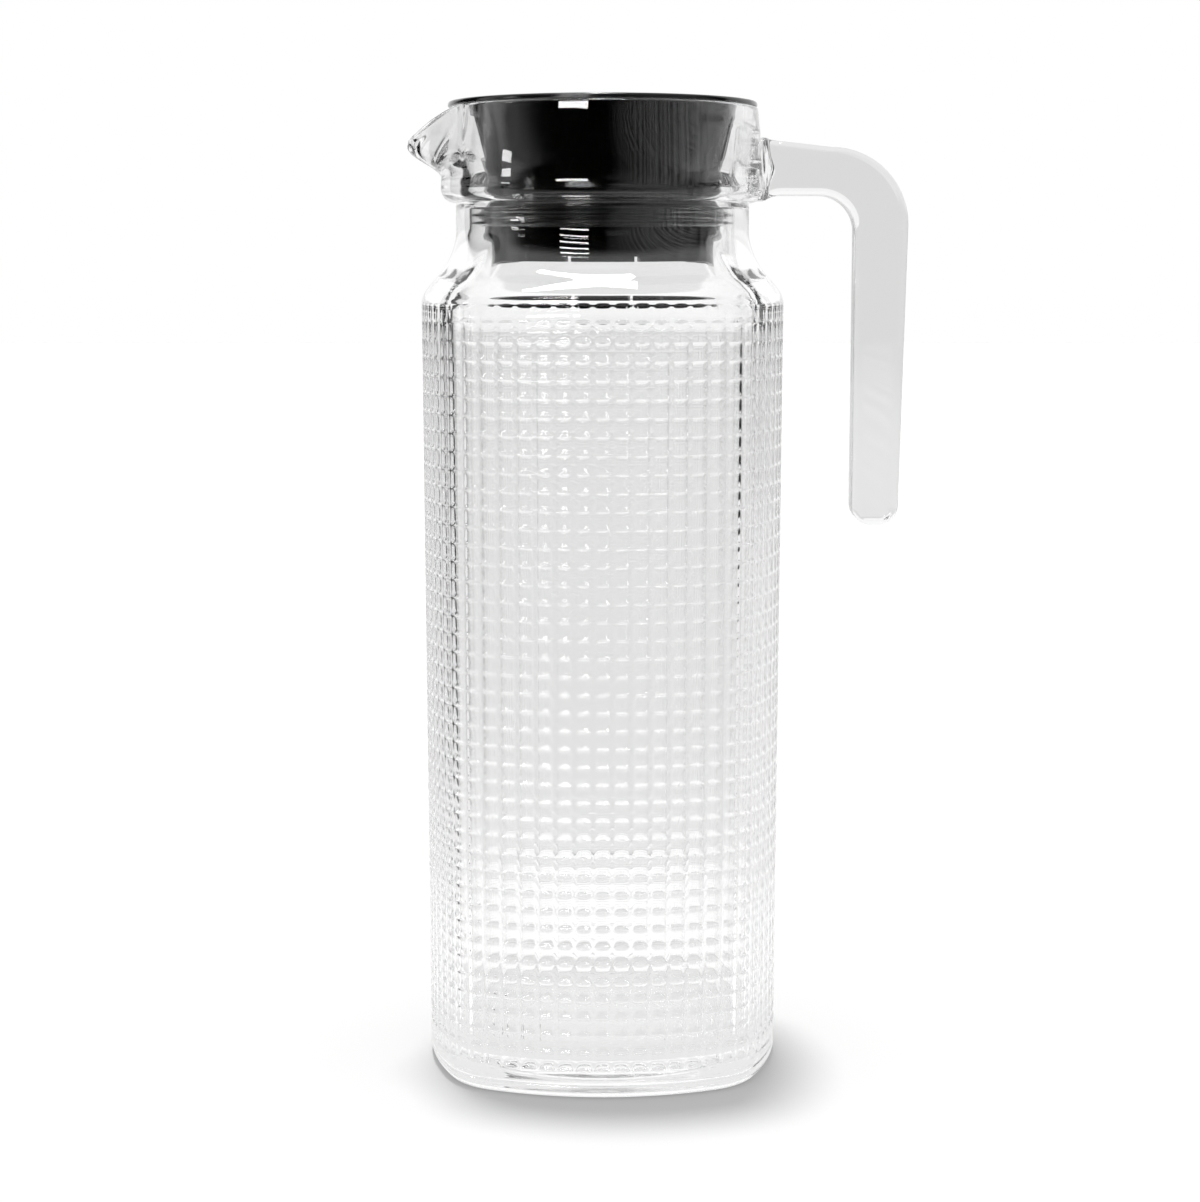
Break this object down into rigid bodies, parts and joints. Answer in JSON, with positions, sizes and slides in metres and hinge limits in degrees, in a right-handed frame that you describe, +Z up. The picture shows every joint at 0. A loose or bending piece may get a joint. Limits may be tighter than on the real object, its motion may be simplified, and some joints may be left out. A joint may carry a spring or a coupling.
{
  "type": "glass pitcher with lid",
  "caption": "Square clear-glass water pitcher with a fine square grid relief, a pouring lip, a fused J handle and a black turning press-in lid.",
  "frame": {"origin": "on the table, at the middle of the foot, on the axis of the neck", "axes": "+Z up along the axis of the neck, +X towards the handle and -X towards the pouring lip, +Y across the vessel"},
  "size_m": [0.133, 0.0966, 0.2584],
  "materials": {
    "clear_glass": "clear pressed glass, polished, with a square grid relief on the walls",
    "lid_plastic": "black moulded plastic, satin gloss",
    "seal_silicone": "soft translucent sealing ring, matt"
  },
  "bodies": {
    "jug": {"glass_body": "clear_glass", "glass_handle": "clear_glass"},
    "seal": {"lid_seal": "seal_silicone"},
    "lid": {"lid_disc": "lid_plastic", "lid_skirt": "lid_plastic"}
  },
  "joints": [
    {"name": "lid_lift", "type": "slide", "parent": "jug", "child": "seal", "axis": [0, 0, 1], "range_m": [0, 0.06]},
    {"name": "lid_turn", "type": "hinge", "parent": "seal", "child": "lid", "pos_m": [0, 0, 0.2285], "axis": [0, 0, 1], "continuous": true}
  ]
}
